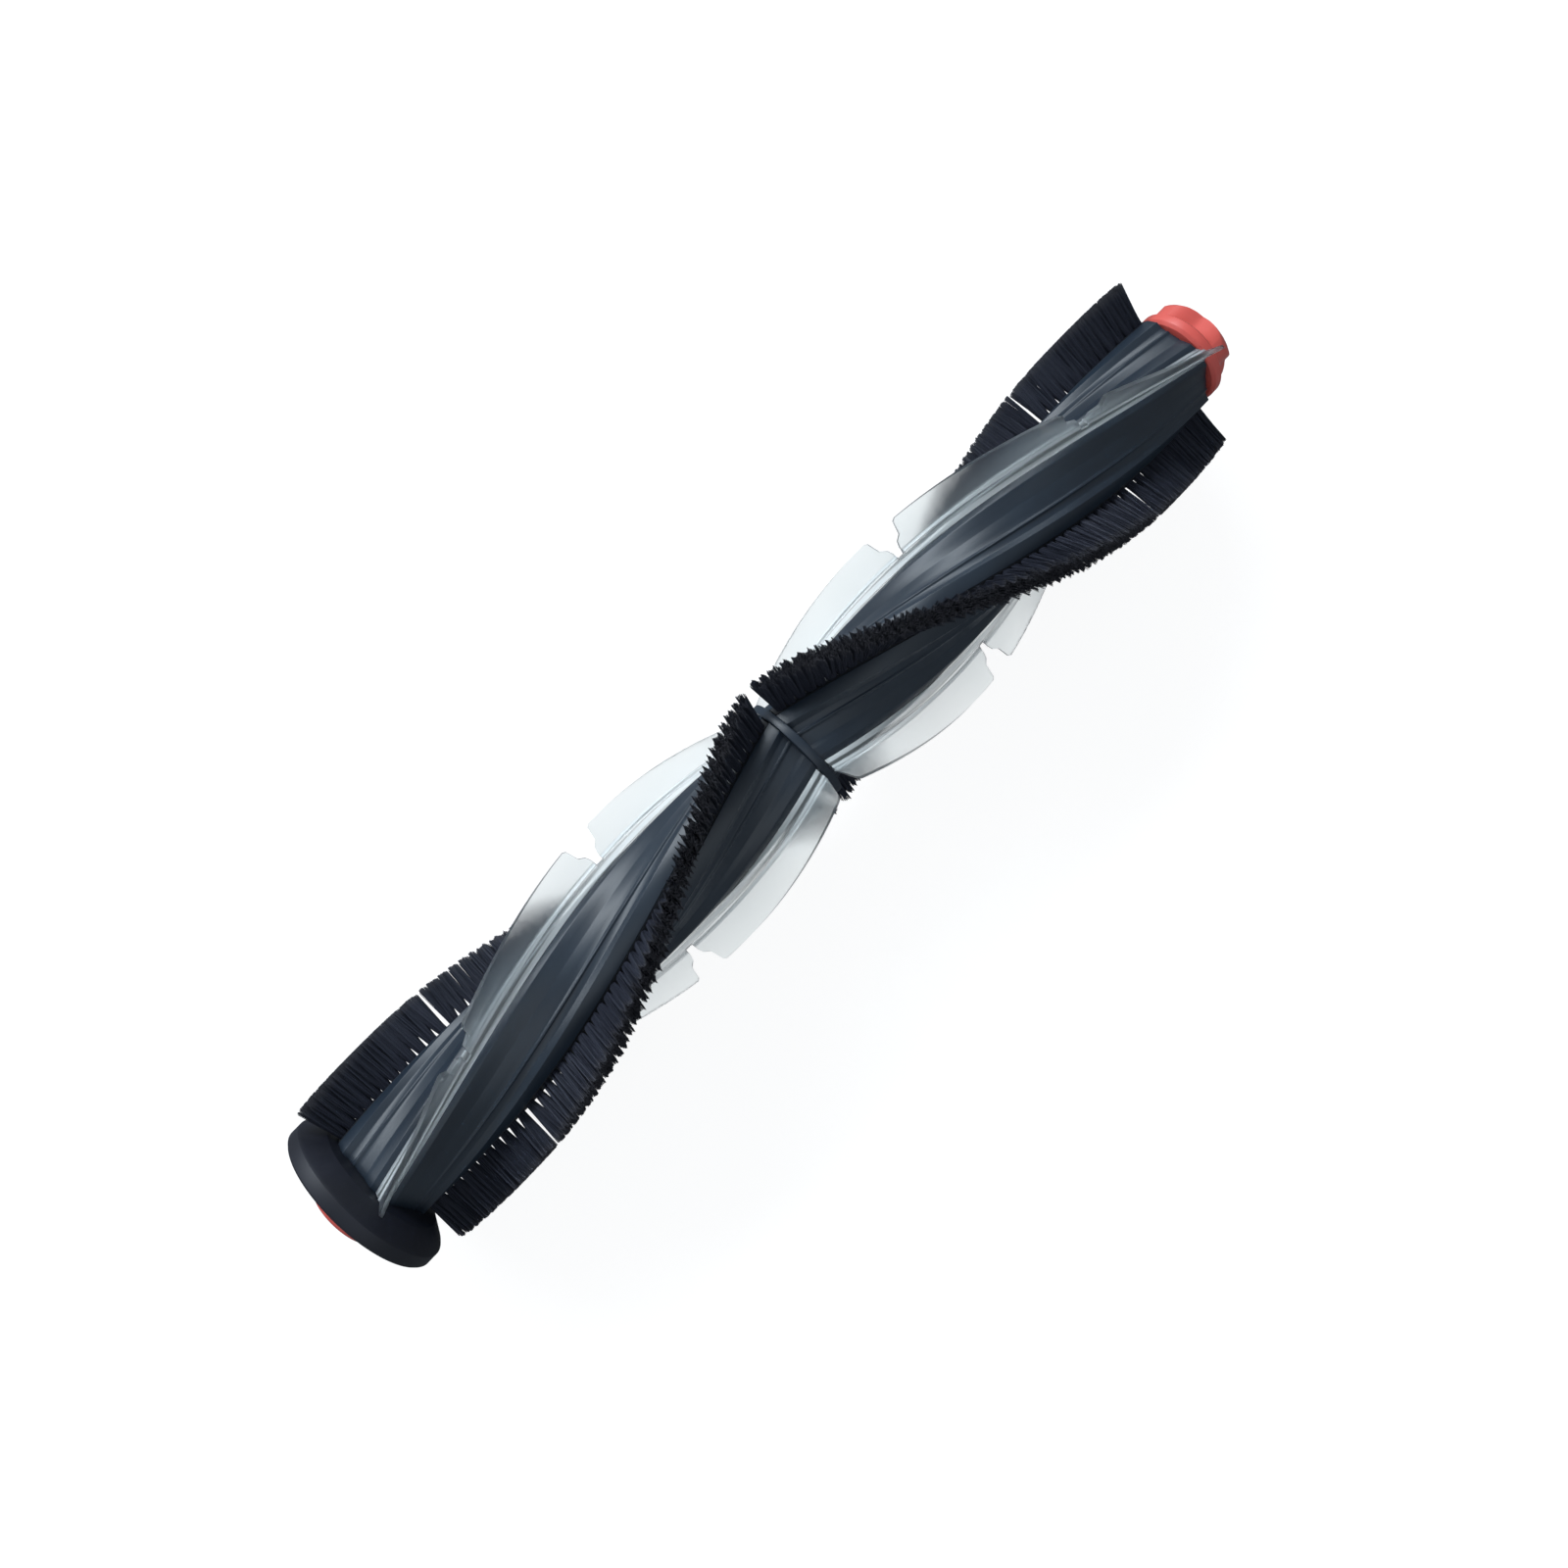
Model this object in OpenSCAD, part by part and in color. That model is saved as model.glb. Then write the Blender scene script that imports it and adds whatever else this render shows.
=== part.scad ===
// Roller brush of a robot vacuum cleaner.
// A spiral core in two halves carries four dovetailed blade strips and four
// bristle strips in a chevron. A flange with a drive plug closes the left end,
// and a loose bearing cap turns on the shaft at the right end.
// The axis lies along X, the drive plug points to -X, and the origin is on the
// axis at the middle of the overall length. Angles round the axis are counted
// from +Z towards +Y.

/* [Rows] */
// Length of each row, from the centre disc's middle to the core's end
row_half = 127.25; // [118:0.05:138]
// Turn of a row from the centre to the end, in degrees
row_twist = 159.9; // [120:0.1:175]
// Share by which the twist is quicker at the centre than its mean
twist_easing = 0.147; // [0:0.001:0.3]
// Angle of the first bristle row at the centre
bristle_angle = 51.4; // [30:0.1:70]
// Angle from a bristle row to the next blade
blade_offset = 94.4; // [85:0.1:95]

/* [Core] */
// Radius of the bosses that carry the bristle strips
bristle_boss_r = 12.4; // [11.8:0.1:13]
// Half width of a bristle boss, in degrees
bristle_boss_angle = 22; // [18:1:25]
// Radius of the bosses that carry the blades
blade_boss_r = 11.7; // [11.4:0.1:12.4]
// Half width of a blade boss, in degrees
blade_boss_angle = 15; // [12:1:18]
// Radius of the hollows between the bosses
hollow_r = 10; // [9.6:0.1:10.6]
// Radius of the disc between the two halves
disc_r = 13.3; // [12.8:0.1:14]
// Thickness of that disc
disc_t = 2; // [1.2:0.1:2.6]

/* [Dovetails] */
// Depth of the dovetail grooves below their boss
groove_depth = 2.5; // [2:0.1:2.6]
// Half width of a bristle groove's mouth
bristle_mouth = 1.5; // [1.3:0.05:1.7]
// Half width of a blade groove's mouth
blade_mouth = 1; // [0.9:0.05:1.2]
// How much wider a groove is at its floor, on each side
undercut = 0.75; // [0.5:0.05:0.9]
// Play between a strip and its groove's sides
strip_play = 0.15; // [0.12:0.01:0.2]
// Play between a strip and its groove's floor
floor_play = 0.2; // [0.15:0.01:0.3]

/* [Blades] */
// Radius of a blade's outer edge
blade_r = 21.35; // [20:0.05:22.5]
// Thickness of a blade at its edge
blade_edge_t = 0.9; // [0.7:0.1:1.4]
// Thickness of a blade above its bead
blade_root_t = 1.1; // [0.9:0.1:1.6]
// Height of the foot that lies on the boss
foot_h = 1.5; // [1.2:0.1:1.8]
// Half width of that foot
foot_half = 1.7; // [1.4:0.1:2]
// Half width of the bead above the groove line
bead_half = 1; // [0.8:0.1:1.3]
// Distance of the first notch from the centre
notch_1 = 47.9; // [44:0.1:52]
// Distance of the second notch from the centre
notch_2 = 94.8; // [91:0.1:98]
// Width of a notch at the foot
notch_root = 2; // [1.6:0.1:3]
// Width of the first notch at the edge
notch_1_tip = 6.9; // [6:0.1:9]
// Width of the second notch at the edge
notch_2_tip = 9.2; // [7:0.1:10]
// Radius at which a notch steps out
notch_step_r = 17.3; // [16.5:0.1:18.5]

/* [Bristles] */
// Radius of the bristle tips
bristle_r = 22.85; // [21.5:0.05:24]
// Spacing of the tufts along the axis
tuft_pitch = 2.45; // [2.42:0.01:3]
// Distance of the first tuft from the centre
first_tuft = 3.1; // [2.4:0.1:4]
// Distance of the gap in each row from the centre
tuft_gap = 96.3; // [90:0.1:105]
// Width of a tuft where it leaves the core
tuft_root = 1.9; // [1.4:0.1:2.2]
// Width of a fanned tuft along the axis at its tips
tuft_tip_long = 2.35; // [2:0.05:2.4]
// Width of a fanned tuft across the row at its tips
tuft_tip_wide = 3.8; // [2.6:0.1:4.6]
// Height of the point of a tuft's tip
tuft_point = 0.7; // [0.3:0.1:1.2]
// Depth of the tufts in their strip
tuft_seat = 1.4; // [1:0.1:1.8]

/* [Drive end] */
// Radius of the flange's rim
flange_r = 20; // [18:0.1:21.5]
// Radius at which the flange's cone starts
flange_cone_r = 15.2; // [14:0.1:16]
// Length of the cone along the axis
flange_cone_l = 2.9; // [2:0.1:4]
// Width of the rim
flange_rim_l = 3.8; // [3:0.1:5]
// Rounding of the rim's edges
flange_edge = 0.5; // [0.3:0.1:0.8]
// Wall left on both sides of the moulded pocket in the outer face
pocket_wall = 1.6; // [1.2:0.1:2]
// Depth of that pocket
pocket_depth = 2.2; // [1.5:0.1:2.6]
// Thickness of the ribs in the pocket
rib_t = 1.2; // [1:0.1:2]
// Number of those ribs
rib_count = 6; // [4:1:8]
// Radius of the plug's boss
boss_r = 8.6; // [8:0.1:9.4]
// Length of that boss outside the flange
boss_l = 4.8; // [4:0.1:7]
// Radius of the plug's spigot
spigot_r = 6; // [5.6:0.1:6.4]
// Width of the spigot across its two flats
spigot_flats = 9.6; // [8.8:0.1:10.4]
// Depth of the spigot in the core
spigot_l = 12; // [8:0.5:16]
// Width of the square drive socket
socket_w = 7.4; // [6.8:0.1:7.6]
// Depth of that socket
socket_depth = 6; // [5:0.1:7]

/* [Shaft and bearing] */
// Diameter of the steel shaft
shaft_d = 4; // [3:0.1:4.4]
// Radial play of the shaft in the moulded pieces
shaft_play = 0.04; // [0.02:0.01:0.1]
// Radial running clearance of the bush on the shaft
running_play = 0.04; // [0.02:0.01:0.1]
// Wall of the bearing bush
bush_wall = 1.8; // [1.4:0.1:2.2]
// Length of the bearing bush
bush_l = 4.6; // [4:0.1:5]
// Radius of the thrust washer
washer_r = 5; // [4.4:0.1:6]
// Thickness of the thrust washer
washer_t = 0.8; // [0.5:0.1:1]
// Thickness of the snap ring
ring_t = 0.6; // [0.5:0.1:0.8]
// Depth of the snap ring's groove
ring_groove = 0.35; // [0.25:0.05:0.5]
// Width of the snap ring's wire, outside the shaft included
ring_w = 0.9; // [0.8:0.1:1.1]

/* [Bearing cap] */
// Radius of the cap's collar
collar_r = 11.7; // [11:0.1:12.4]
// Length of the collar
collar_l = 3.2; // [2.4:0.1:4]
// Gap between the core's end and the turning cap
cap_gap = 0.6; // [0.4:0.1:1]
// Rounding of the collar's edges
collar_edge = 0.7; // [0.4:0.1:1]
// Length of the four-lobed head
head_l = 5.2; // [4.6:0.1:6]
// How far the head's lobes stay inside the collar
head_inset = 0.3; // [0.1:0.1:0.8]
// Radius of the head in the middle of its hollow sides
head_side = 8.6; // [8:0.1:9.4]
// Sharpness of the lobes
lobe_shape = 0.8; // [0.6:0.1:1.4]
// Turn of the head from upright, in degrees
head_turn = 17; // [0:1:45]
// Length of the dome at the head's end
dome_l = 3.3; // [2:0.1:3.8]
// Radius of the flat face in that dome
dome_r = 7; // [6:0.1:8]

/* [Hidden] */
$fn = 72;

core_black = "#20262e";
blade_white = "#e4eef0";
bristle_black = "#16171b";
cap_red = "#d8443c";
steel_grey = "#b4b8bc";
bronze = "#a8814e";
washer_white = "#d8d8d0";

// Steps of the sweep along one half of the core
sweep_steps = 28;
// Shape of the core between its bosses, in degrees and as rises over the hollows
boss_edge_drop = 0.2;
bristle_flank_angle = 5;
bristle_flank_rise = 0.8;
bristle_ledge_angle = 38;
bristle_ledge_rise = 0.3;
blade_flank_angle = 9;
blade_flank_rise = 0.6;
hollow_half_angle = 7;
half_disc = disc_t / 2;
// How far the left half runs into the disc that is moulded with it
disc_overlap = 0.2;
// Round relief at the mouth of the spigot's pocket
lead_in = 0.6;
// Axial play that keeps the strips clear of the disc
end_play = 0.3;
strip_start = half_disc + end_play;
flange_l = flange_cone_l + flange_rim_l;
cap_start = row_half + cap_gap;
drive_reach = row_half + flange_l + boss_l;
cap_reach = cap_start + collar_l + head_l;
// Place of the centre disc, which puts the origin at the middle of the length
disc_x = (drive_reach - cap_reach) / 2;
// A cut runs this far past the face that it opens
past = 1;

// The row of small pieces on the shaft's right end, and their play
shaft_r = shaft_d / 2;
bush_play = 0.1;
bush_start = row_half + washer_t + bush_play;
bush_end = bush_start + bush_l;
ring_play = 0.2;
ring_start = bush_end + ring_play;
ring_side_play = 0.05;
shaft_nose = 0.5;
shaft_end = ring_start + ring_t + shaft_nose;
shaft_end_play = 0.3;
cavity_end = shaft_end + shaft_end_play;
bush_r = shaft_r + running_play + bush_wall;
bush_ledge = 0.3;
washer_room = 0.4;
// The shaft ends this far inside the flange's outer face
shaft_inset = 4;
shaft_start = row_half + flange_l - shaft_inset;
shaft_seat_play = 0.2;
shaft_chamfer = 0.3;
boss_chamfer = 0.4;

groove_bristle_floor = bristle_boss_r - groove_depth;
groove_blade_floor = blade_boss_r - groove_depth;

// Turn of a row at the distance s from the centre
function turn_at(s) =
    row_twist * ((1 + twist_easing) * s / row_half - twist_easing * pow(s / row_half, 2));

// A point of a section at s: t is sideways and r outward from the row's middle
function row_point(s, angle, t, r) =
    let (a = angle - turn_at(s))
    [s, r * sin(a) + t * cos(a), r * cos(a) - t * sin(a)];

function polar(angle, r) = [r * sin(angle), r * cos(angle)];

// Stations of a plain sweep between two distances
function spread(first, last, steps) =
    [for (i = [0 : steps]) first + (last - first) * i / steps];

// Closed tube of triangles through sections that all have the same point count.
// A strip is split along the other diagonal, so that it stays parallel to its groove
module skin(sections, strip = false) {
    rings = len(sections);
    count = len(sections[0]);
    points = [for (ring = sections) for (point = ring) point];
    sides = [
        for (i = [0 : rings - 2]) for (j = [0 : count - 1])
            let (k = (j + 1) % count, a = i * count, b = a + count)
            each strip
                ? [[a + j, a + k, b + j], [a + k, b + k, b + j]]
                : [[a + j, a + k, b + k], [a + j, b + k, b + j]]
    ];
    first = [for (j = [count - 1 : -1 : 0]) j];
    last = [for (j = [0 : count - 1]) (rings - 1) * count + j];
    polyhedron(points = points, faces = concat(sides, [first, last]), convexity = 10);
}

// A constant section along a row
module row_sweep(angle, section, stations, strip = false) {
    skin([for (s = stations) [for (q = section) row_point(s, angle, q[0], q[1])]], strip);
}

// Half width of a strip's dovetail at its floor, with the same slope as its groove
function strip_floor_half(mouth) =
    mouth + undercut * (1 - floor_play / groove_depth) - strip_play;

// Section of the core: boss edges, groove mouths, groove floors and hollows
function bristle_boss() = [
    polar(-bristle_ledge_angle, hollow_r + bristle_ledge_rise),
    polar(-bristle_boss_angle - bristle_flank_angle, hollow_r + bristle_flank_rise),
    polar(-bristle_boss_angle, bristle_boss_r - boss_edge_drop),
    [-bristle_mouth, bristle_boss_r],
    [-bristle_mouth - undercut, groove_bristle_floor],
    [bristle_mouth + undercut, groove_bristle_floor],
    [bristle_mouth, bristle_boss_r],
    polar(bristle_boss_angle, bristle_boss_r - boss_edge_drop),
    polar(bristle_boss_angle + bristle_flank_angle, hollow_r + bristle_flank_rise),
    polar(bristle_ledge_angle, hollow_r + bristle_ledge_rise)
];
function blade_boss() = [
    polar(-blade_boss_angle - blade_flank_angle, hollow_r + blade_flank_rise),
    polar(-blade_boss_angle, blade_boss_r),
    [-blade_mouth, blade_boss_r],
    [-blade_mouth - undercut, groove_blade_floor],
    [blade_mouth + undercut, groove_blade_floor],
    [blade_mouth, blade_boss_r],
    polar(blade_boss_angle, blade_boss_r),
    polar(blade_boss_angle + blade_flank_angle, hollow_r + blade_flank_rise)
];
function turned(points, angle) = [
    for (q = points)
        [q[0] * cos(angle) + q[1] * sin(angle), q[1] * cos(angle) - q[0] * sin(angle)]
];
function core_side() = concat(
    bristle_boss(),
    [polar(blade_offset / 2 + hollow_half_angle, hollow_r)],
    turned(blade_boss(), blade_offset),
    [polar((blade_offset + 180) / 2 - hollow_half_angle, hollow_r)]
);
function core_section() = concat(core_side(), turned(core_side(), 180));

// A profile or a rod along the axis, and the double flat of the drive plug
module along_x(from, to) {
    translate([from, 0, 0]) rotate([0, 90, 0]) linear_extrude(to - from) children();
}
module rod(from, to, radius) {
    translate([from, 0, 0]) rotate([0, 90, 0]) cylinder(h = to - from, r = radius);
}
module double_flat(play) {
    intersection() {
        circle(r = spigot_r + play);
        square([2 * spigot_r + past, spigot_flats + 2 * play], center = true);
    }
}

// One half of the core: the sweep runs past the end of the rows and is cut square
function core_stations(inner_end) =
    concat(spread(inner_end, row_half - past, sweep_steps), [row_half + past]);
module core_half(inner_end) {
    intersection() {
        row_sweep(bristle_angle, core_section(), core_stations(inner_end));
        rod(0, row_half, flange_r);
    }
}
module core_bore() {
    rod(-row_half - past, row_half + past, shaft_r + shaft_play);
}

module left_core() {
    color(core_black) difference() {
        union() {
            mirror([1, 0, 0]) core_half(half_disc - disc_overlap);
            rod(-half_disc, half_disc, disc_r);
        }
        core_bore();
        along_x(-row_half - past, spigot_l - row_half + end_play) double_flat(shaft_play);
        rod(-row_half - past, lead_in - row_half, spigot_r + lead_in);
    }
}
module right_core() {
    color(core_black) difference() {
        core_half(half_disc);
        core_bore();
    }
}

// Section of a blade strip whose sheet ends at the radius tip
foot_slope = 0.55;
foot_rise = 0.3;
bead_h = 1.3;
bead_start = 0.35;
bead_middle = 0.7;
bead_bottom = blade_boss_r + foot_h + foot_rise;
bead_top = bead_bottom + bead_h;
notch_stub = 0.3;
notch_floor = bead_bottom + notch_stub;
function blade_height(r, tip) =
    r < bead_bottom ? r
    : tip > bead_top ? min(r, tip)
    : bead_bottom + (r - bead_bottom) * (tip - bead_bottom) / (blade_r - bead_bottom);
function blade_side(tip) = [
    [strip_floor_half(blade_mouth), groove_blade_floor + floor_play],
    [blade_mouth - strip_play, blade_boss_r + strip_play],
    [foot_half, blade_boss_r + 2 * strip_play],
    [foot_half - foot_slope, blade_boss_r + foot_h],
    [blade_root_t / 2, blade_height(bead_bottom, tip)],
    [blade_root_t / 2, blade_height(bead_bottom + bead_start, tip)],
    [bead_half, blade_height(bead_bottom + bead_middle, tip)],
    [blade_root_t / 2, blade_height(bead_top, tip)],
    [blade_edge_t / 2, blade_height(blade_r, tip)]
];
function blade_section(tip) =
    let (side = blade_side(tip), count = len(side))
    concat(
        [for (q = side) [-q[0], q[1]]],
        [for (i = [count - 1 : -1 : 0]) side[i]]
    );

// Stations of a blade strip: each is a distance and the sheet's radius there
corner = 0.7;
corner_drop = 0.5;
notch_web = 0.6;
notch_side = 0.1;
notch_margin = 7;
function notch_edge(at, tip_gap, way) = [
    [at + way * (tip_gap / 2 + corner), blade_r],
    [at + way * tip_gap / 2, blade_r - corner_drop],
    [at + way * (tip_gap / 2 - corner), notch_step_r + corner_drop],
    [at + way * (notch_root / 2 + corner_drop), notch_step_r - corner_drop],
    [at + way * notch_root / 2, bead_top + notch_web]
];
function backward(list) = [for (i = [len(list) - 1 : -1 : 0]) list[i]];
function notch(at, tip_gap) = concat(
    notch_edge(at, tip_gap, -1),
    [
        [at - notch_root / 2 + notch_side, notch_floor],
        [at + notch_root / 2 - notch_side, notch_floor]
    ],
    backward(notch_edge(at, tip_gap, 1))
);
function plain(first, last, steps) = [for (s = spread(first, last, steps)) [s, blade_r]];
blade_end = row_half - end_play;
// The inner corner of a strip is cut back at a slant
inner_cut = 1.4;
function blade_stations() = concat(
    [[strip_start, bead_top + notch_web], [strip_start + inner_cut, blade_r - corner_drop]],
    plain(strip_start + inner_cut + corner, notch_1 - notch_1_tip / 2 - notch_margin, 5),
    notch(notch_1, notch_1_tip),
    plain(
        notch_1 + notch_1_tip / 2 + notch_margin, notch_2 - notch_2_tip / 2 - notch_margin, 4),
    notch(notch_2, notch_2_tip),
    plain(notch_2 + notch_2_tip / 2 + notch_margin, blade_end - corner, 3),
    [[blade_end, blade_r - corner_drop]]
);
module blade(angle) {
    color(blade_white) skin([
        for (station = blade_stations())
            [for (q = blade_section(station[1])) row_point(station[0], angle, q[0], q[1])]
    ], strip = true);
}

// Dovetailed spine that carries a row of tufts
spine_end = row_half - end_play;
spine_stations = concat(
    [strip_start],
    [
        for (s = core_stations(half_disc))
            if (s > strip_start + end_play && s < spine_end - end_play) s
    ],
    [spine_end]
);
module spine(angle) {
    floor_r = groove_bristle_floor + floor_play;
    floor_half = strip_floor_half(bristle_mouth);
    mouth_half = bristle_mouth - strip_play;
    section = [
        [-floor_half, floor_r], [-mouth_half, bristle_boss_r],
        [mouth_half, bristle_boss_r], [floor_half, floor_r]
    ];
    color(core_black) row_sweep(angle, section, spine_stations, strip = true);
}

// One fanned tuft, square at its root and pointed at its tips
module tuft(s, angle) {
    root = tuft_root / 2;
    long = tuft_tip_long / 2;
    wide = tuft_tip_wide / 2;
    root_r = bristle_boss_r - tuft_seat;
    shoulder_r = bristle_r - tuft_point;
    a = angle - turn_at(s);
    corners = [[-1, -1], [1, -1], [1, 1], [-1, 1]];
    skinned = [
        for (c = corners) [s + c[0] * root, c[1] * root, root_r],
        for (c = corners) [s + c[0] * long, c[1] * wide, shoulder_r]
    ];
    points = [
        for (p = concat(skinned, [[s, 0, bristle_r]]))
            [p[0], p[2] * sin(a) + p[1] * cos(a), p[2] * cos(a) - p[1] * sin(a)]
    ];
    tip = 8;
    sides = [
        for (i = [0 : 3]) let (j = (i + 1) % 4)
            each [[i, i + 4, j + 4], [i, j + 4, j], [i + 4, tip, j + 4]]
    ];
    polyhedron(points = points, faces = concat(sides, [[0, 1, 2], [0, 2, 3]]));
}
last_tuft = floor((spine_end - tuft_tip_long / 2 - first_tuft) / tuft_pitch);
missing_tuft = round((tuft_gap - first_tuft) / tuft_pitch);
module tufts(angle) {
    color(bristle_black)
        for (i = [0 : last_tuft])
            if (i != missing_tuft) tuft(first_tuft + i * tuft_pitch, angle);
}

// The four rows of one half, and their mirror images on the left
angle_a = bristle_angle;
angle_b = bristle_angle + 180;
module to_place() {
    translate([disc_x, 0, 0]) children();
}
module left() {
    to_place() mirror([1, 0, 0]) children();
}

// Black flange: a cone, a rim, and a ribbed pocket in its hidden outer face
module end_flange() {
    face = row_half + flange_l;
    pocket_in = boss_r + pocket_wall;
    pocket_out = flange_r - pocket_wall;
    color(core_black) left() difference() {
        rotate([0, 90, 0]) rotate_extrude() polygon([
            [0, row_half], [flange_cone_r, row_half],
            [flange_r - flange_edge, row_half + flange_cone_l],
            [flange_r, row_half + flange_cone_l + flange_edge],
            [flange_r, face - flange_edge], [flange_r - flange_edge, face], [0, face]
        ]);
        along_x(row_half - past, face + past) double_flat(2 * shaft_play);
        along_x(face - pocket_depth, face + past) difference() {
            circle(r = pocket_out);
            circle(r = pocket_in);
            for (i = [0 : rib_count - 1])
                rotate(i * 360 / rib_count) translate([0, -rib_t / 2]) square([flange_r, rib_t]);
        }
    }
}

// Red drive plug: a boss with a square socket, and a double-flat spigot
module drive_plug() {
    face = row_half + flange_l;
    outer = face + boss_l;
    color(cap_red) left() difference() {
        union() {
            rotate([0, 90, 0]) rotate_extrude() polygon([
                [0, face], [boss_r, face], [boss_r, outer - boss_chamfer],
                [boss_r - boss_chamfer, outer], [0, outer]
            ]);
            along_x(row_half - spigot_l, face) double_flat(0);
        }
        along_x(outer - socket_depth, outer + past) square(socket_w, center = true);
        rod(row_half - spigot_l - past, shaft_start + shaft_seat_play, shaft_r + shaft_play);
    }
}

// Steel shaft through both halves of the core, grooved for the snap ring
module shaft() {
    groove_r = shaft_r - ring_groove;
    color(steel_grey) to_place() rotate([0, 90, 0]) rotate_extrude() polygon([
        [0, -shaft_start], [shaft_r - shaft_chamfer, -shaft_start],
        [shaft_r, shaft_chamfer - shaft_start],
        [shaft_r, ring_start - ring_side_play], [groove_r, ring_start - ring_side_play],
        [groove_r, ring_start + ring_t + ring_side_play],
        [shaft_r, ring_start + ring_t + ring_side_play],
        [shaft_r, shaft_end - shaft_chamfer], [shaft_r - shaft_chamfer, shaft_end],
        [0, shaft_end]
    ]);
}

module thrust_washer() {
    color(washer_white) to_place() difference() {
        rod(row_half, row_half + washer_t, washer_r);
        rod(row_half - past, row_half + washer_t + past, shaft_r + shaft_play);
    }
}

module bearing_bush() {
    color(bronze) to_place() difference() {
        rod(bush_start, bush_end, bush_r);
        rod(bush_start - past, bush_end + past, shaft_r + running_play);
    }
}

// Open steel ring in the shaft's groove, which the cap snaps over
module snap_ring() {
    inner = shaft_r - ring_groove + ring_side_play;
    color(steel_grey) to_place() along_x(ring_start, ring_start + ring_t) difference() {
        circle(r = inner + ring_w);
        circle(r = inner);
        translate([0, -inner / 2]) square([inner + ring_w + past, inner]);
    }
}

// Red bearing cap: a round collar and a domed head with four lobes
lobe_step = 5;
dome_step = 15;
module head_section(head_r) {
    rotate(-head_turn) polygon([
        for (i = [0 : 360 / lobe_step - 1])
            let (a = i * lobe_step, lift = pow((1 - cos(4 * a)) / 2, lobe_shape))
            (head_side + (head_r - head_side) * lift) * [cos(a), sin(a)]
    ]);
}
module bearing_cap() {
    collar_end = cap_start + collar_l;
    head_end = collar_end + head_l;
    head_r = collar_r - head_inset;
    color(cap_red) to_place() difference() {
        union() {
            rotate([0, 90, 0]) rotate_extrude() polygon([
                [0, cap_start], [collar_r - collar_edge, cap_start],
                [collar_r, cap_start + collar_edge], [collar_r, collar_end - collar_edge],
                [collar_r - collar_edge, collar_end], [0, collar_end]
            ]);
            intersection() {
                along_x(cap_start + collar_edge, head_end) head_section(head_r);
                rotate([0, 90, 0]) rotate_extrude() polygon(concat(
                    [[0, cap_start], [head_r, cap_start]],
                    [
                        for (t = [0 : dome_step : 90]) [
                            dome_r + (head_r - dome_r) * cos(t),
                            head_end - dome_l + dome_l * sin(t)
                        ]
                    ],
                    [[0, head_end]]
                ));
            }
        }
        rod(cap_start - past, bush_end, bush_r);
        rod(bush_start, cavity_end, bush_r - bush_ledge);
        rod(cap_start - past, bush_start, washer_r + washer_room);
    }
}

to_place() left_core();
to_place() right_core();
left() blade(angle_a + blade_offset);  // left_blade_a
left() blade(angle_b + blade_offset);  // left_blade_b
to_place() blade(angle_a + blade_offset);  // right_blade_a
to_place() blade(angle_b + blade_offset);  // right_blade_b
left() spine(angle_a);  // left_spine_a
left() spine(angle_b);  // left_spine_b
to_place() spine(angle_a);  // right_spine_a
to_place() spine(angle_b);  // right_spine_b
left() tufts(angle_a);  // left_bristles_a
left() tufts(angle_b);  // left_bristles_b
to_place() tufts(angle_a);  // right_bristles_a
to_place() tufts(angle_b);  // right_bristles_b
end_flange();
drive_plug();
shaft();
thrust_washer();
bearing_bush();
snap_ring();
bearing_cap();
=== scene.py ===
import math
import random

import bpy
from mathutils import Matrix, Vector


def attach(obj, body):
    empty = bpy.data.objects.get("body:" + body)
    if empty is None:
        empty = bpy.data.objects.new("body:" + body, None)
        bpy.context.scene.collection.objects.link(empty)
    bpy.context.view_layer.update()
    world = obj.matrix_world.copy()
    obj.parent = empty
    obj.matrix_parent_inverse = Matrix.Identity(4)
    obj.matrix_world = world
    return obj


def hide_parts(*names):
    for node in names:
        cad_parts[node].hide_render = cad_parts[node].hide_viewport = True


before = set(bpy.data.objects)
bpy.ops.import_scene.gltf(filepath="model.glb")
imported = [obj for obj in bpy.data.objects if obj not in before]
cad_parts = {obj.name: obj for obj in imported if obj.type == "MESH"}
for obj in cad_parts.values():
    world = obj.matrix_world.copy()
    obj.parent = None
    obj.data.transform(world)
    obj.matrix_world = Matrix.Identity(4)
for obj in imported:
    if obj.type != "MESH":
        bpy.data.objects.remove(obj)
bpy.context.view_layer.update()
MM = 0.001

# ---------------------------------------------------------------- the camera
# The picture was taken from close above the brush with a wide lens, so the near
# middle looks larger than the two ends. The brush runs from lower left to upper right.
eye = Vector((-36.43, 8.23, 282.41)) * MM
picture_right = Vector((0.69254, -0.71386, 0.10392))
picture_up = Vector((0.71343, 0.69909, 0.04785))
camera_data = bpy.data.cameras.new("close_camera")
camera_data.sensor_width = 36
camera_data.lens = 29.25
camera_data.clip_start = 0.01
camera_data.clip_end = 10
camera = bpy.data.objects.new("close_camera", camera_data)
bpy.context.scene.collection.objects.link(camera)
towards_eye = picture_right.cross(picture_up).normalized()
camera.matrix_world = Matrix.Translation(eye) @ Matrix(
    (picture_right, picture_up, towards_eye)).transposed().to_4x4()
bpy.context.scene.camera = camera

# ---------------------------------------------------------------- the core
# Two injection-moulded halves of black ABS with a spiral body, and a thin disc
# between them. Satin from the mould, a little blue in daylight, with soft long
# highlights in the hollows and thin bright lines along the edges of the bosses.


def paint(name):
    """A new material, its main shader, and the object's own coordinates."""
    material = bpy.data.materials.new(name)
    material.use_nodes = True
    place = material.node_tree.nodes.new("ShaderNodeTexCoord").outputs["Object"]
    return material, material.node_tree.nodes["Principled BSDF"], place


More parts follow.
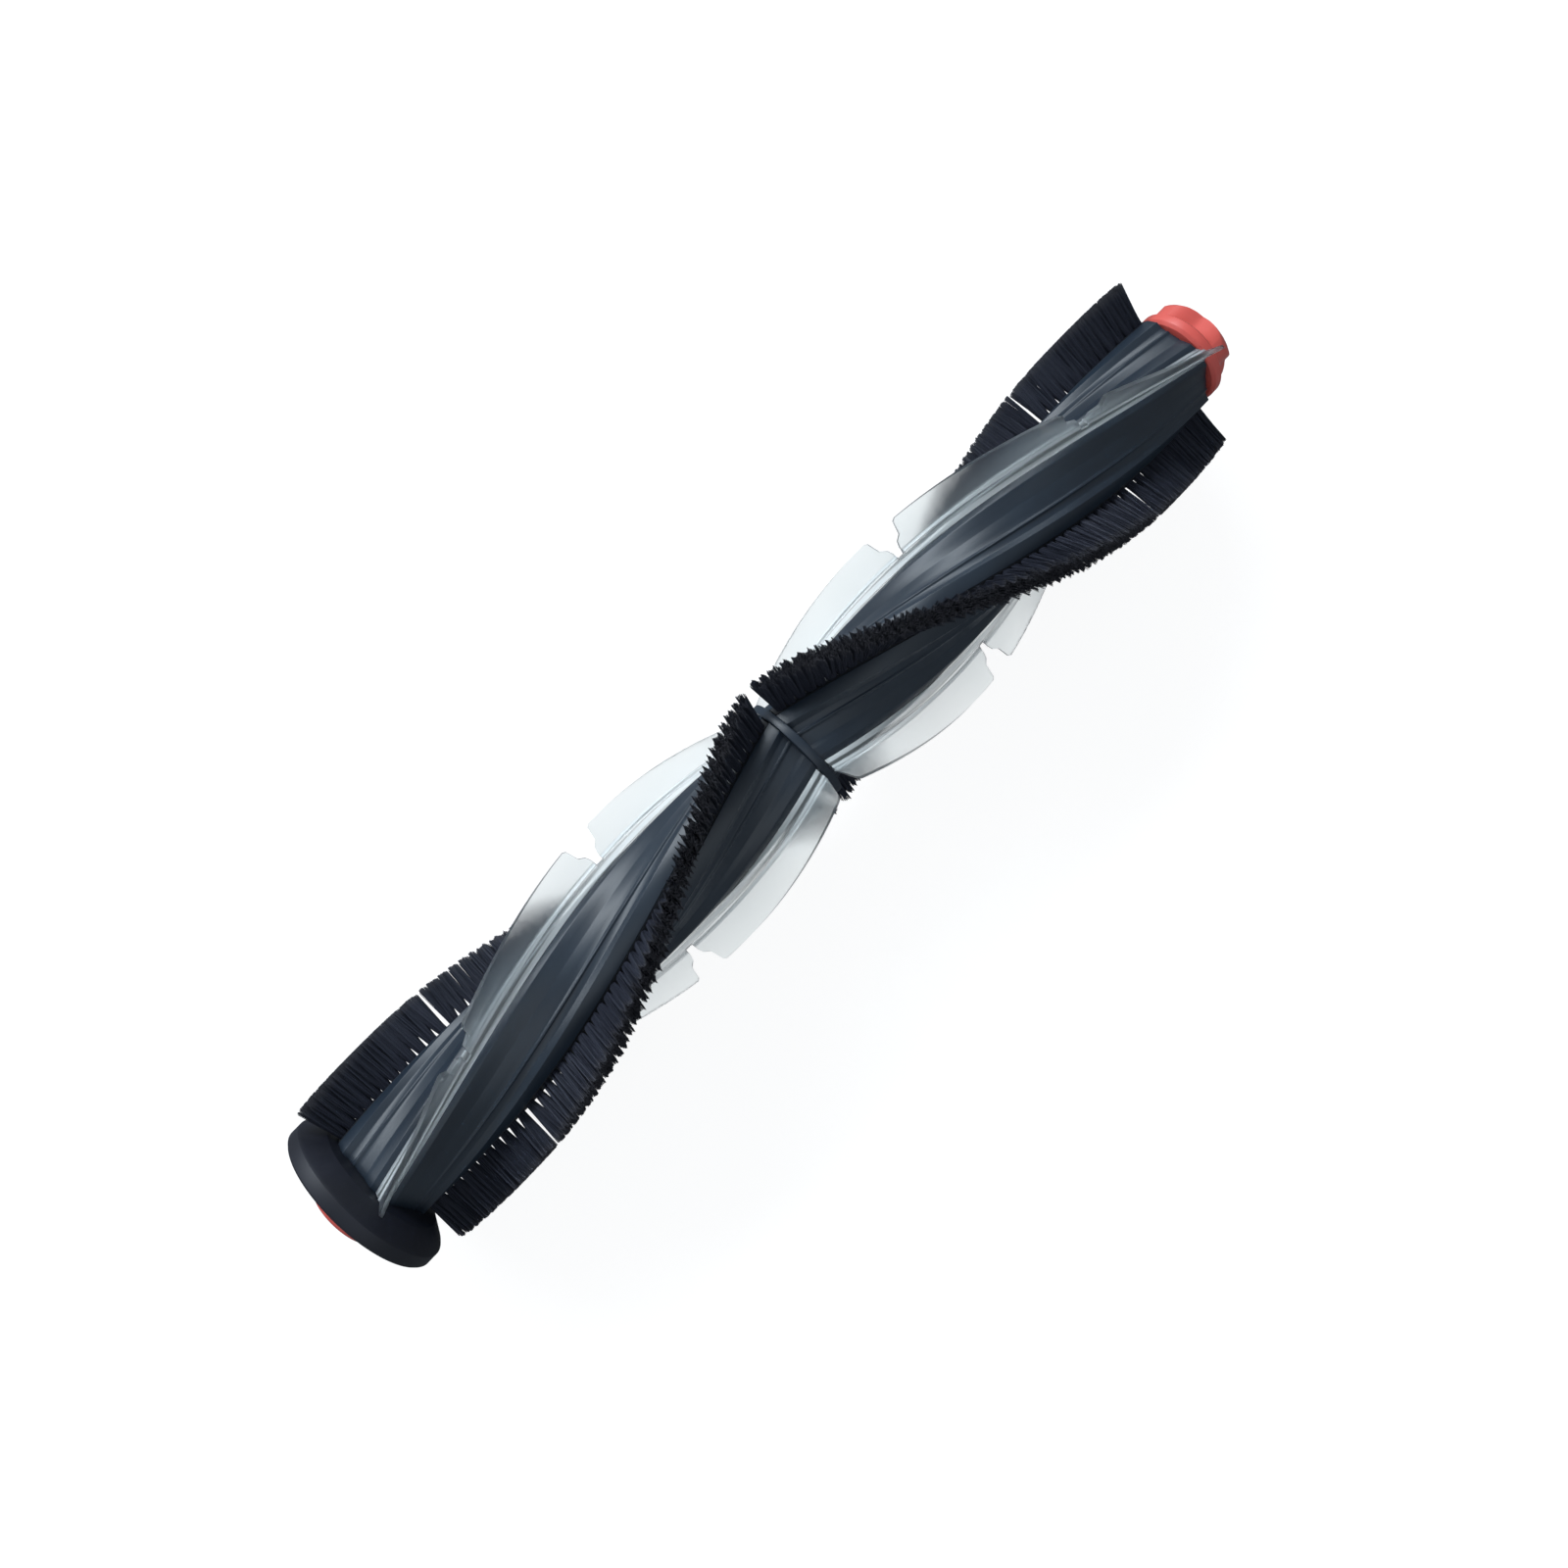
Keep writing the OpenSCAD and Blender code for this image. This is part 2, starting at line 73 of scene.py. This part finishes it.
def hue(code):
    """The linear colour of an sRGB hex value."""
    parts = [int(code[i:i + 2], 16) / 255 for i in (1, 3, 5)]
    return [c / 12.92 if c <= 0.04045 else ((c + 0.055) / 1.055) ** 2.4 for c in parts] + [1]


def add(material, kind, settings=(), links=()):
    """A shader node, and the first output it uses.

    Settings fill its sockets, its own values or its colour stops.
    """
    node = material.node_tree.nodes.new(kind)
    for key, value in dict(settings).items():
        if key == "stops":
            while len(node.color_ramp.elements) < len(value):
                node.color_ramp.elements.new(0.5)
            for element, (at, code) in zip(node.color_ramp.elements, value):
                element.position, element.color = at, hue(code)
        elif isinstance(key, int) or key in node.inputs:
            node.inputs[key].default_value = value
        else:
            setattr(node, key, value)
    for key, source in dict(links).items():
        material.node_tree.links.new(source, node.inputs[key])
    return next(output for output in node.outputs if output.enabled)


def feed(material, source, target):
    """Links an output to an input."""
    material.node_tree.links.new(source, target)


def chosen(piece):
    """Makes a piece the only selected one, and the active one."""
    bpy.ops.object.select_all(action="DESELECT")
    bpy.context.view_layer.objects.active = piece
    piece.select_set(True)


def copied(node):
    """A copy of a node's piece, to be finished and shown in its place."""
    piece = bpy.data.objects.new(node + "_finished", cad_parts[node].data.copy())
    bpy.context.scene.collection.objects.link(piece)
    chosen(piece)
    return piece


def merged(piece, flat):
    """Joins the corners that lie together, and clears edges inside flat faces."""
    bpy.ops.object.mode_set(mode="EDIT")
    bpy.ops.mesh.select_all(action="SELECT")
    bpy.ops.mesh.remove_doubles(threshold=0.002 * MM)
    bpy.ops.mesh.dissolve_limited(angle_limit=math.radians(flat))
    bpy.ops.object.mode_set(mode="OBJECT")


def rounded(piece, width, turn, rounds):
    """Rounds the edges where the faces turn by more than an angle."""
    edges = piece.modifiers.new("edges", "BEVEL")
    edges.width = width * MM
    edges.segments = rounds
    edges.limit_method = "ANGLE"
    edges.angle_limit = math.radians(turn)
    bpy.context.view_layer.objects.active = piece
    bpy.ops.object.modifier_apply(modifier="edges")


def shown(piece, node, material, body):
    """Smooths a finished piece, paints it, and lets it stand for its node."""
    chosen(piece)
    bpy.ops.object.shade_smooth_by_angle(angle=math.radians(smooth_angle))
    piece.data.materials.clear()
    piece.data.materials.append(material)
    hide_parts(node)
    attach(piece, body)


def dressed(node, material, body, edge=0.0, rounds=2):
    """Shows a clean copy of a moulded or turned piece, with rounded edges."""
    piece = copied(node)
    merged(piece, 0.3)
    bpy.ops.object.mode_set(mode="EDIT")
    bpy.ops.mesh.select_all(action="SELECT")
    bpy.ops.mesh.tris_convert_to_quads(
        face_threshold=math.radians(20), shape_threshold=math.radians(180))
    bpy.ops.object.mode_set(mode="OBJECT")
    if edge:
        rounded(piece, edge, smooth_angle, rounds)
    shown(piece, node, material, body)


# satin black that drifts a little in tone and gloss, with a fine grain from the mould
core_abs, shader, place = paint("moulded_abs_black_satin")
flow = add(core_abs, "ShaderNodeTexNoise", {"Scale": 60.0, "Detail": 3.0}, {"Vector": place})
feed(core_abs, add(core_abs, "ShaderNodeValToRGB",
                   {"stops": ((0.3, "#1c2632"), (0.7, "#24303d"))}, {"Fac": flow}),
     shader.inputs["Base Color"])
feed(core_abs, add(core_abs, "ShaderNodeMapRange", {"To Min": 0.38, "To Max": 0.44},
                   {"Value": flow}), shader.inputs["Roughness"])
grain = add(core_abs, "ShaderNodeTexNoise", {"Scale": 2500.0, "Detail": 2.0}, {"Vector": place})
feed(core_abs, add(core_abs, "ShaderNodeBump", {"Strength": 0.06, "Distance": 0.0002},
                   {"Height": grain}), shader.inputs["Normal"])
shader.inputs["IOR"].default_value = 1.54

# lengths in millimetres and angles in degrees, as in the part's source
row_half = 127.25
row_twist = 159.9
twist_easing = 0.147
first_row_angle = 51.4
blade_offset = 94.4
disc_x = 1.25
disc_half = 1.0
disc_r = 13.3
boss_r = 12.4
blade_boss_r = 11.7
hollow_r = 10.0
groove_depth = 2.5
groove_undercut = 0.75
bristle_mouth = 1.5
blade_mouth = 1.0
shaft_hole_r = 2.04
spigot_r = 6.1
spigot_l = 12.3
smooth_angle = 28
core_lengths = 90
strip_lengths = 80
halves = (("left", -1), ("right", 1))
rows = (("a", 0), ("b", 180))


def turn_at(s):
    """Turn of a row at the distance s from the centre, in radians."""
    share = s / row_half
    return math.radians(row_twist * ((1 + twist_easing) * share - twist_easing * share * share))


def twisted(piece, start, side):
    """Turns a straight piece round the axis along its row, and sets it on its half."""
    for v in piece.data.vertices:
        a = math.radians(start) - turn_at(v.co.x / MM)
        x, y, z = v.co
        v.co = (x, z * math.sin(a) + y * math.cos(a), z * math.cos(a) - y * math.sin(a))
    piece.data.transform(
        Matrix.Translation((disc_x * MM, 0, 0)) @ Matrix.Diagonal((side, 1, 1, 1)))
    if side < 0:
        piece.data.flip_normals()


def straightened(piece, start, side):
    """The reverse of twisted: the piece lies straight along +X from the centre."""
    piece.data.transform(
        Matrix.Diagonal((side, 1, 1, 1)) @ Matrix.Translation((-disc_x * MM, 0, 0)))
    if side < 0:
        piece.data.flip_normals()
    for v in piece.data.vertices:
        a = math.radians(start) - turn_at(v.co.x / MM)
        x, y, z = v.co
        v.co = (x, y * math.cos(a) - z * math.sin(a), y * math.sin(a) + z * math.cos(a))


def sliced(piece, first, last, steps):
    """Cuts a straight piece into short lengths, so that it can follow the twist."""
    chosen(piece)
    bpy.ops.object.mode_set(mode="EDIT")
    for i in range(1, steps):
        bpy.ops.mesh.select_all(action="SELECT")
        bpy.ops.mesh.bisect(
            plane_co=((first + (last - first) * i / steps) * MM, 0, 0), plane_no=(1, 0, 0))
    bpy.ops.object.mode_set(mode="OBJECT")


def carved(piece, tool, operation):
    """Cuts a tool out of a piece, or joins it on, and clears the tool away."""
    change = piece.modifiers.new("change", "BOOLEAN")
    change.object = tool
    change.operation = operation
    change.solver = "EXACT"
    bpy.context.view_layer.objects.active = piece
    bpy.ops.object.modifier_apply(modifier="change")
    bpy.data.objects.remove(tool)


def rod(radius, first, last, corners=64):
    """A cylinder on the axis, between two places on it."""
    bpy.ops.object.select_all(action="DESELECT")
    bpy.ops.mesh.primitive_cylinder_add(
        vertices=corners, radius=radius * MM, depth=(last - first) * MM,
        location=((first + last) / 2 * MM, 0, 0), rotation=(0, math.pi / 2, 0))
    bpy.ops.object.transform_apply(location=True, rotation=True, scale=True)
    return bpy.context.object


def polar(angle, r, across=0.0):
    """A point of the section at an angle from the first row, and a step across it."""
    a = math.radians(angle)
    return (r * math.sin(a) + across * math.cos(a), r * math.cos(a) - across * math.sin(a))


# one side of the core's section: a bristle boss at 0 and a blade boss at its offset,
# each with its dovetail groove, a thin moulded line on both flanks, round hollows between
bristle_side = [
    polar(-40, 10.15), polar(-38, 10.55), polar(-36.5, 10.6), polar(-34.5, 10.3),
    polar(-27, 10.8), polar(-22.5, 12.15), polar(0, boss_r, -bristle_mouth),
    polar(0, boss_r - groove_depth, -bristle_mouth - groove_undercut)]
blade_flank = ((24, 10.6), (15, 11.6))
blade_side = [polar(blade_offset - angle, r) for angle, r in blade_flank] + [
    polar(blade_offset, r, way * half)
    for way, edges in (
        (-1, ((blade_boss_r, blade_mouth),
              (blade_boss_r - groove_depth, blade_mouth + groove_undercut))),
        (1, ((blade_boss_r - groove_depth, blade_mouth + groove_undercut),
             (blade_boss_r, blade_mouth))))
    for r, half in edges
] + [polar(blade_offset + angle, r) for angle, r in reversed(blade_flank)]
one_side = (
    bristle_side + [(-y, z) for y, z in reversed(bristle_side)]
    + [polar(angle, hollow_r) for angle in (47, 54.2, 61)]
    + blade_side
    + [polar(angle, hollow_r) for angle in (124, 130.2, 135)])
section = one_side + [(-y, -z) for y, z in one_side]

# both halves start a little inside the disc's faces, at the right of the centre, and
# the left one is turned over at the end
start_x = disc_half - 0.2
core_end = disc_x + row_half
for half, side in halves:
    bpy.ops.object.select_all(action="DESELECT")
    bpy.ops.mesh.primitive_circle_add(vertices=len(section), radius=1, fill_type="NGON")
    core = bpy.context.object
    core.name = half + "_core_finished"
    for v, (y, z) in zip(core.data.vertices, section):
        v.co = (start_x * MM, y * MM, z * MM)
    bpy.ops.object.mode_set(mode="EDIT")
    bpy.ops.mesh.select_all(action="SELECT")
    bpy.ops.mesh.extrude_region_move(
        TRANSFORM_OT_translate={"value": ((row_half - start_x) * MM, 0, 0)})
    bpy.ops.mesh.select_all(action="SELECT")
    bpy.ops.mesh.normals_make_consistent(inside=False)
    bpy.ops.object.mode_set(mode="OBJECT")
    rounded(core, 0.16, 8, 2)
    sliced(core, disc_half, row_half, core_lengths)
    twisted(core, first_row_angle, 1)
    if half == "left":
        disc = rod(disc_r, disc_x - disc_half, disc_x + disc_half, 128)
        rounded(disc, 0.25, 30, 2)
        carved(core, disc, "UNION")
        carved(core, rod(spigot_r, core_end - spigot_l, core_end + 2), "DIFFERENCE")
    carved(core, rod(shaft_hole_r, -10, 150), "DIFFERENCE")
    if side < 0:
        core.data.transform(
            Matrix.Translation((2 * disc_x * MM, 0, 0)) @ Matrix.Diagonal((-1, 1, 1, 1)))
        core.data.flip_normals()
    shown(core, half + "_core", core_abs, "roller")

# ---------------------------------------------------------------- the blades
# Four silicone strips, frosted and see-through, each one moulding with a dovetail
# foot, a bead, and a thin sheet with two notches. Over white they look white and a
# little green, and over the black bristles they turn grey.
blade_root_r = 11
blade_tip_r = 21.4
silicone, shader, place = paint("moulded_silicone_frosted")
haze = add(silicone, "ShaderNodeTexNoise", {"Scale": 40.0, "Detail": 2.0}, {"Vector": place})
frost = add(silicone, "ShaderNodeValToRGB",
            {"stops": ((0.3, "#f0f7f8"), (0.7, "#f7fcfd"))}, {"Fac": haze})
# painted shade: the base colour turns grey where the sheet is seen edge-on, as at the near ends
# of the strips
facing = silicone.node_tree.nodes.new("ShaderNodeLayerWeight").outputs["Facing"]
grey = add(silicone, "ShaderNodeValToRGB",
           {"stops": ((0.4, "#ffffff"), (0.75, "#787882"))}, {"Fac": facing})
feed(silicone, add(silicone, "ShaderNodeVectorMath", {"operation": "MULTIPLY"},
                   {0: frost, 1: grey}), shader.inputs["Base Color"])
shader.inputs["Roughness"].default_value = 0.33
# foot and bead scatter the light and read as two white lines, and the sheet lets more
# and more of it through towards its outer edge
cross = add(silicone, "ShaderNodeVectorMath", {"operation": "MULTIPLY", 1: (0, 1, 1)}, {0: place})
length = add(silicone, "ShaderNodeVectorMath", {"operation": "LENGTH"}, {0: cross})
height = add(silicone, "ShaderNodeMapRange",
             {"From Min": blade_root_r * MM, "From Max": blade_tip_r * MM}, {"Value": length})
clear = add(silicone, "ShaderNodeValToRGB",
            {"stops": ((0.1, "#ededed"), (0.13, "#959595"), (0.195, "#959595"), (0.21, "#ededed"),
                       (0.275, "#ededed"), (0.29, "#898989"), (0.345, "#898989"),
                       (0.37, "#ededed"), (0.92, "#fcfcfc"))},
            {"Fac": height})
feed(silicone, clear, shader.inputs["Transmission Weight"])
# lamp light passes through it to what lies behind
shade = silicone.node_tree.nodes.new("ShaderNodeLightPath").outputs["Is Shadow Ray"]
feed(silicone, add(silicone, "ShaderNodeMapRange", {"To Min": 0.75, "To Max": 0.25},
                   {"Value": shade}), shader.inputs["Alpha"])
shader.inputs["IOR"].default_value = 1.2


def strip(node, material, start, side, edge=0.0):
    """Shows a strip's finished copy: laid straight, rounded, cut fine, and turned back."""
    piece = copied(node)
    straightened(piece, start, side)
    merged(piece, 0.5)
    if edge:
        rounded(piece, edge, 20, 2)
    sliced(piece, disc_half, row_half, strip_lengths)
    twisted(piece, start, side)
    shown(piece, node, material, "roller")


for half, side in halves:
    for row, turned in rows:
        strip(f"{half}_blade_{row}", silicone,
              first_row_angle + blade_offset + turned, side, edge=0.15)

# ---------------------------------------------------------------- the bristle strips
# Each strip is a stiff extruded spine with a row of tufts pressed into it. A tuft is
# a bundle of black nylon filaments, tight at its root and fanned across the row at
# its tips, so the row looks like a wall from the side and like teeth from above.
tip_r = 22.85
tuft_pitch = 2.45
tuft_half = 1.2
first_tuft = 3.1
tuft_gap = 96.3
end_play = 0.3
first_trim = 1.8
trim_fall = 0.15
root_shift = {1: 1.05, 2: 0.55, 3: 0.2}
tuft_kinds = 6
filaments = 330
filament_r = 0.1
filament_tip_r = 0.06
root_half = 0.85
root_depth = 1.2
fan_half = 2.3
single_teeth = 0.2
single_reach = 3.5
tooth_reach = (2.7, 3.8)
tooth_off = (0.5, 0.7)
tooth_play = 0.3
tooth_span = 1.2

# a dull black, a little uneven, that stays in the shade between the tufts
spine_plastic, shader, place = paint("extruded_polypropylene_black")
flow = add(spine_plastic, "ShaderNodeTexNoise", {"Scale": 200.0, "Detail": 2.0},
           {"Vector": place})
feed(spine_plastic, add(spine_plastic, "ShaderNodeValToRGB",
                        {"stops": ((0.3, "#14171c"), (0.7, "#1c2026"))}, {"Fac": flow}),
     shader.inputs["Base Color"])
shader.inputs["Roughness"].default_value = 0.5
for half, side in halves:
    for row, turned in rows:
        strip(f"{half}_spine_{row}", spine_plastic, first_row_angle + turned, side)

# a dull blue-black at the roots, painted lighter and greyer towards the tips: a painted sheen
# where the light catches the tops of the rows
nylon, shader, place = paint("drawn_nylon_black")
cross = add(nylon, "ShaderNodeVectorMath", {"operation": "MULTIPLY", 1: (0, 1, 1)}, {0: place})
length = add(nylon, "ShaderNodeVectorMath", {"operation": "LENGTH"}, {0: cross})
height = add(nylon, "ShaderNodeMapRange", {"From Min": boss_r * MM, "From Max": tip_r * MM},
             {"Value": length})
feed(nylon, add(nylon, "ShaderNodeValToRGB",
                {"stops": ((0.0, "#2a2d39"), (0.8, "#353844"), (1.0, "#4a4a50"))},
                {"Fac": height}), shader.inputs["Base Color"])
shader.inputs["Roughness"].default_value = 0.6
shader.inputs["Specular IOR Level"].default_value = 0.2
shader.inputs["IOR"].default_value = 1.53


# one filament, a three-sided rod that thins a little to its tip
bpy.ops.object.select_all(action="DESELECT")
bpy.ops.mesh.primitive_cone_add(
    vertices=3, radius1=filament_r * MM, radius2=filament_tip_r * MM, depth=1,
    end_fill_type="NGON", location=(0, 0, 0.5))
filament = bpy.context.object
bpy.ops.object.transform_apply(location=True, rotation=True, scale=True)


def joined(objects):
    bpy.ops.object.select_all(action="DESELECT")
    for each in objects:
        each.select_set(True)
    bpy.context.view_layer.objects.active = objects[0]
    bpy.ops.object.join()
    return bpy.context.object


def tuft(seed):
    """A bundle of filaments, fanned along the row, with teeth on both of its sides."""
    chance = random.Random(seed)
    teeth = {}
    for side in (-1, 1):
        middle = chance.uniform(-tooth_play, tooth_play)
        teeth[side] = ((middle, single_reach),) if chance.random() < single_teeth else (
            (middle - chance.uniform(*tooth_off), chance.uniform(*tooth_reach)),
            (middle + chance.uniform(*tooth_off), chance.uniform(*tooth_reach)))
    strands = []
    for i in range(filaments):
        # u runs along the row and v across it, and pull draws the outer tips to a tooth
        u, v = chance.uniform(-1, 1), chance.uniform(-1, 1)
        root = Vector((root_half * u, 0.92 * v * (1 - 0.25 * u * u), boss_r - root_depth)) * MM
        spot = tooth_span * u
        tooth, reach = min(teeth[1 if v > 0 else -1], key=lambda t: abs(spot - t[0]))
        off = spot - tooth
        pull = abs(v) ** 1.3
        along = (1 - pull) * fan_half * u + pull * (tooth + 0.2 * off)
        across = v * (reach - 1.7 * abs(off) * pull) + 0.1 * chance.gauss(0, 1)
        height = math.sqrt(tip_r ** 2 - across ** 2) - 0.03 - 0.2 * chance.random() ** 2
        way = Vector((along, across, height - 0.6 * pull ** 4)) * MM - root
        strand = filament.copy()
        strand.data = filament.data.copy()
        strand.data.transform(
            Matrix.Translation(root)
            @ way.to_track_quat("Z", "Y").to_matrix().to_4x4()
            @ Matrix.Rotation(chance.uniform(0, 6.28), 4, "Z")
            @ Matrix.Diagonal((1, 1, way.length, 1)))
        bpy.context.scene.collection.objects.link(strand)
        strands.append(strand)
    return joined(strands)


tufts = [tuft(seed) for seed in range(tuft_kinds)]

# a straight row of tufts, later turned round the core. One tuft is missing, and those
# beside it stand nearer at their roots, so that a thin crack is left from root to tip.
# The first tufts are trimmed, since the row is lower next to the centre disc.
row_dice = random.Random(7)
row_tufts = []
last_tuft = math.floor((row_half - end_play - tuft_half - first_tuft) / tuft_pitch)
missing_tuft = round((tuft_gap - first_tuft) / tuft_pitch)
for i in range(last_tuft + 1):
    if i == missing_tuft:
        continue
    s = (first_tuft + i * tuft_pitch) * MM
    source = tufts[row_dice.randrange(tuft_kinds)]
    copy = source.copy()
    copy.data = source.data.copy()
    copy.data.transform(
        Matrix.Translation((s, 0, 0)) @ Matrix.Rotation(math.pi * row_dice.randrange(2), 4, "Z"))
    nearer = root_shift.get(abs(i - missing_tuft), 0)
    trim = max(0, first_trim - trim_fall * s / MM)
    for v in copy.data.vertices:
        rise = max(0, v.co.z / MM - boss_r) / (tip_r - boss_r)
        v.co.x += math.copysign(nearer, missing_tuft - i) * (1 - 0.88 * rise) * MM
        v.co.z -= trim * rise * MM
    bpy.context.scene.collection.objects.link(copy)
    row_tufts.append(copy)
straight_row = joined(row_tufts)
for spare in tufts + [filament]:
    bpy.data.objects.remove(spare)

for half, side in halves:
    for row, turned in rows:
        bristles = straight_row.copy()
        bristles.data = straight_row.data.copy()
        bristles.name = f"{half}_bristles_{row}_filaments"
        bpy.context.scene.collection.objects.link(bristles)
        twisted(bristles, first_row_angle + turned, side)
        bristles.data.materials.clear()
        bristles.data.materials.append(nylon)
        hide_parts(f"{half}_bristles_{row}")
        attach(bristles, "roller")
bpy.data.objects.remove(straight_row)

# ---------------------------------------------------------------- the drive end
# A black flange of moulded ABS, a cone with a plain rim, closes the left end. The
# red drive plug clamps it, and its square socket takes the gearbox's pin.
# a soft coral red, the only strong colour of the brush
red_abs, shader, place = paint("moulded_abs_coral_red")
flow = add(red_abs, "ShaderNodeTexNoise", {"Scale": 120.0, "Detail": 3.0}, {"Vector": place})
feed(red_abs, add(red_abs, "ShaderNodeValToRGB",
                  {"stops": ((0.3, "#dc584f"), (0.7, "#e7665d"))}, {"Fac": flow}),
     shader.inputs["Base Color"])
shader.inputs["Roughness"].default_value = 0.4
shader.inputs["IOR"].default_value = 1.54
# a duller black than the core's, and painted darker as well: painted shade, since the cone takes
# less light than the core, so it reads as one dark form
flange_abs, shader, place = paint("moulded_abs_black_matt")
flow = add(flange_abs, "ShaderNodeTexNoise", {"Scale": 80.0, "Detail": 3.0}, {"Vector": place})
feed(flange_abs, add(flange_abs, "ShaderNodeValToRGB",
                     {"stops": ((0.3, "#10121c"), (0.7, "#151826"))}, {"Fac": flow}),
     shader.inputs["Base Color"])
shader.inputs["Roughness"].default_value = 0.55
dressed("end_flange", flange_abs, "roller", edge=0.15)
dressed("drive_plug", red_abs, "roller", edge=0.2)

# ---------------------------------------------------------------- the shaft and the cap
# A ground steel shaft runs through both halves. At the right end a red cap turns on
# it, in a bronze bush between a plain washer and a snap ring.
# bright steel with faint mottling
steel, shader, place = paint("ground_steel")
mottle = add(steel, "ShaderNodeTexNoise", {"Scale": 400.0, "Detail": 2.0}, {"Vector": place})
feed(steel, add(steel, "ShaderNodeValToRGB", {"stops": ((0.3, "#a8abae"), (0.7, "#bcc0c3"))},
     {"Fac": mottle}), shader.inputs["Base Color"])
shader.inputs["Metallic"].default_value = 1
shader.inputs["Roughness"].default_value = 0.3
# brown bronze with the fine dark pores of pressed powder
bronze, shader, place = paint("sintered_bronze")
mottle = add(bronze, "ShaderNodeTexNoise", {"Scale": 3000.0, "Detail": 2.0}, {"Vector": place})
feed(bronze, add(bronze, "ShaderNodeValToRGB", {"stops": ((0.35, "#7d5f38"), (0.6, "#a8814e"))},
     {"Fac": mottle}), shader.inputs["Base Color"])
shader.inputs["Metallic"].default_value = 1
shader.inputs["Roughness"].default_value = 0.45
# an off-white, slightly waxy plastic
acetal, shader, place = paint("moulded_acetal_white")
mottle = add(acetal, "ShaderNodeTexNoise", {"Scale": 300.0, "Detail": 2.0}, {"Vector": place})
feed(acetal, add(acetal, "ShaderNodeValToRGB", {"stops": ((0.3, "#d4d4cc"), (0.7, "#dededa"))},
     {"Fac": mottle}), shader.inputs["Base Color"])
shader.inputs["Roughness"].default_value = 0.4

dressed("shaft", steel, "roller")
dressed("snap_ring", steel, "roller")
dressed("thrust_washer", acetal, "roller")
dressed("bearing_bush", bronze, "cap")
dressed("bearing_cap", red_abs, "cap", edge=0.4, rounds=3)

# ---------------------------------------------------------------- the studio
# A white table and a white room, with one long soft lamp at the brush's upper left
# that draws the highlights in the core's hollows, and a weaker one above.
# the table glows for the camera, so that it stays white where the brush stands
table_paint = bpy.data.materials.new("white_table")
table_paint.use_nodes = True
table_paint.node_tree.nodes.clear()
seen = table_paint.node_tree.nodes.new("ShaderNodeLightPath")
straight = add(table_paint, "ShaderNodeMath", {"operation": "MULTIPLY", 1: 0.88},
               {0: seen.outputs["Is Camera Ray"]})
through = add(table_paint, "ShaderNodeMath", {"operation": "MULTIPLY", 1: 0.76},
              {0: seen.outputs["Is Transmission Ray"]})
strength = add(table_paint, "ShaderNodeMath", {"operation": "ADD"}, {0: straight, 1: through})
matt = add(table_paint, "ShaderNodeBsdfDiffuse", {"Color": hue("#909090")})
glow = add(table_paint, "ShaderNodeEmission", {"Color": (1, 1, 1, 1)}, {"Strength": strength})
both = add(table_paint, "ShaderNodeAddShader", {}, {0: matt, 1: glow})
out = table_paint.node_tree.nodes.new("ShaderNodeOutputMaterial")
feed(table_paint, both, out.inputs["Surface"])

bpy.ops.object.select_all(action="DESELECT")
bpy.ops.mesh.primitive_plane_add(size=6, location=(0, 0, -(tip_r + 0.3) * MM))
table = bpy.context.object
table.name = "white_table"
table.data.materials.append(table_paint)

room = bpy.data.worlds.new("white_room")
room.use_nodes = True
bpy.context.scene.world = room
room.node_tree.nodes.clear()
seen = room.node_tree.nodes.new("ShaderNodeLightPath")
plain = add(room, "ShaderNodeBackground", {"Color": (0.84, 0.93, 1, 1), "Strength": 0.26})
white = add(room, "ShaderNodeBackground", {"Color": (1, 1, 1, 1), "Strength": 1.0})
mix = add(room, "ShaderNodeMixShader", {}, {0: seen.outputs["Is Camera Ray"], 1: plain, 2: white})
out = room.node_tree.nodes.new("ShaderNodeOutputWorld")
feed(room, mix, out.inputs["Surface"])


def softbox(name, place, size, power):
    """A cool soft lamp that shines at the middle of the brush."""
    lamp = bpy.data.lights.new(name, "AREA")
    lamp.shape = "RECTANGLE"
    lamp.size, lamp.size_y = size
    lamp.energy = power
    lamp.color = (0.86, 0.94, 1)
    box = bpy.data.objects.new(name, lamp)
    bpy.context.scene.collection.objects.link(box)
    box.location = place
    box.rotation_mode = "QUATERNION"
    box.rotation_quaternion = Vector(place).to_track_quat("Z", "Y")


softbox("long_window", (0.05, 0.75, 0.42), (1.0, 0.22), 9)
softbox("high_fill", (-0.2, -0.3, 0.9), (0.8, 0.8), 1.5)

bpy.context.scene.view_settings.view_transform = "Standard"
